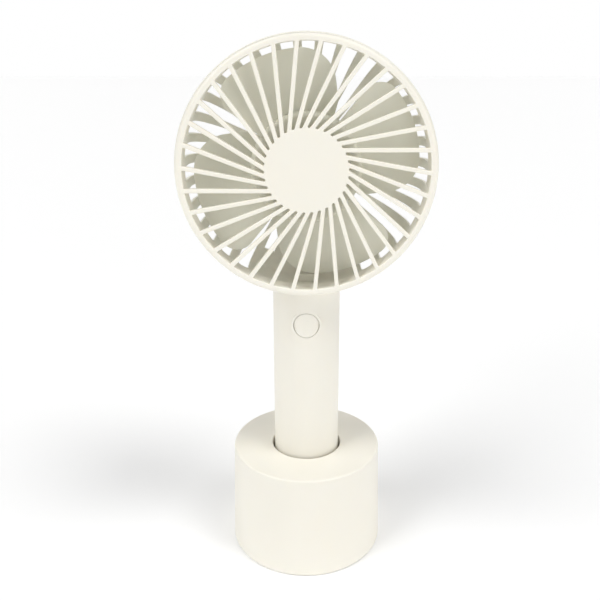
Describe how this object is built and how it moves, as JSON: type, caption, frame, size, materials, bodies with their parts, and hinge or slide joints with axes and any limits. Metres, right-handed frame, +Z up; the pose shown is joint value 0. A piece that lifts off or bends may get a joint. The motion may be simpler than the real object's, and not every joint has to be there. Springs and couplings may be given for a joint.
{
  "type": "handheld fan with desk stand",
  "caption": "Round-headed handheld fan with a leaning-spoke grille, push button and straight handle, standing in a plain weighted cylindrical desk stand.",
  "frame": {"origin": "on the table, under the middle of the round stand and of the whole part", "axes": "+Z up along the handle and the part's longest side, the front grille faces -Y, +X to the right seen from the front"},
  "size_m": [0.102, 0.0674, 0.223],
  "materials": {
    "stand_plastic": "satin ivory moulding",
    "handle_plastic": "satin ivory moulding",
    "head_plastic": "satin ivory moulding",
    "grille_plastic": "satin ivory moulding",
    "impeller_plastic": "satin ivory moulding",
    "button_plastic": "satin ivory moulding",
    "base_plastic": "fine textured ivory",
    "foot_rubber": "matt grey silicone",
    "weight_steel": "dull zinc plated",
    "screw_steel": "nickel plated",
    "switch_plastic": "black moulding",
    "switch_metal": "tinned",
    "board_laminate": "green solder mask",
    "chip_plastic": "black epoxy",
    "socket_steel": "stamped steel",
    "lamp_plastic": "milky light pipe",
    "cell_wrap": "shrink wrap",
    "foam_rubber": "black foam",
    "lead_plastic": "wire insulation",
    "motor_steel": "zinc plated can",
    "bell_plastic": "black nylon",
    "bush_bronze": "sintered bronze",
    "magnet_ceramic": "ferrite",
    "brush_brass": "spring brass",
    "shaft_steel": "ground",
    "core_steel": "laminated",
    "winding_copper": "enamelled copper",
    "commutator_copper": "copper"
  },
  "bodies": {
    "stand": {"stand_shell": "stand_plastic", "stand_base_plate": "base_plastic", "stand_weight": "weight_steel", "stand_foot_ring": "foot_rubber", "stand_screws": "screw_steel"},
    "fan_body": {"handle_front_shell": "handle_plastic", "handle_rear_shell": "handle_plastic", "handle_end_cap": "handle_plastic", "handle_screws": "screw_steel", "tact_switch": "switch_metal", "circuit_board": "board_laminate", "board_chips": "chip_plastic", "usb_socket": "socket_steel", "charge_lamp": "lamp_plastic", "battery_cell": "cell_wrap", "battery_foam": "foam_rubber", "battery_leads": "lead_plastic", "motor_leads": "lead_plastic", "rear_grille": "head_plastic", "lead_cover": "head_plastic", "motor_cover": "head_plastic", "motor_can": "motor_steel", "motor_end_bell": "bell_plastic", "motor_bushes": "bush_bronze", "motor_magnets": "magnet_ceramic", "motor_brushes": "brush_brass", "motor_screws": "screw_steel"},
    "rotor": {"impeller": "impeller_plastic", "motor_shaft": "shaft_steel", "motor_armature": "core_steel", "motor_windings": "winding_copper", "motor_commutator": "commutator_copper"},
    "button": {"power_button": "button_plastic", "switch_plunger": "switch_plastic"},
    "front_cover": {"front_grille": "grille_plastic"}
  },
  "joints": [
    {"name": "fan_lift", "type": "slide", "parent": "stand", "child": "fan_body", "axis": [0, 0, 1], "range_m": [0, 0.04]},
    {"name": "impeller_spin", "type": "hinge", "parent": "fan_body", "child": "rotor", "pos_m": [0, 0, 0.172], "axis": [0, 1, 0], "continuous": true},
    {"name": "button_press", "type": "slide", "parent": "fan_body", "child": "button", "axis": [0, 1, 0], "range_m": [0, 0.0004], "stiffness_N_per_m": 900},
    {"name": "grille_twist", "type": "hinge", "parent": "fan_body", "child": "front_cover", "pos_m": [0, 0, 0.172], "axis": [0, -1, 0], "range_deg": [0, 13]}
  ]
}
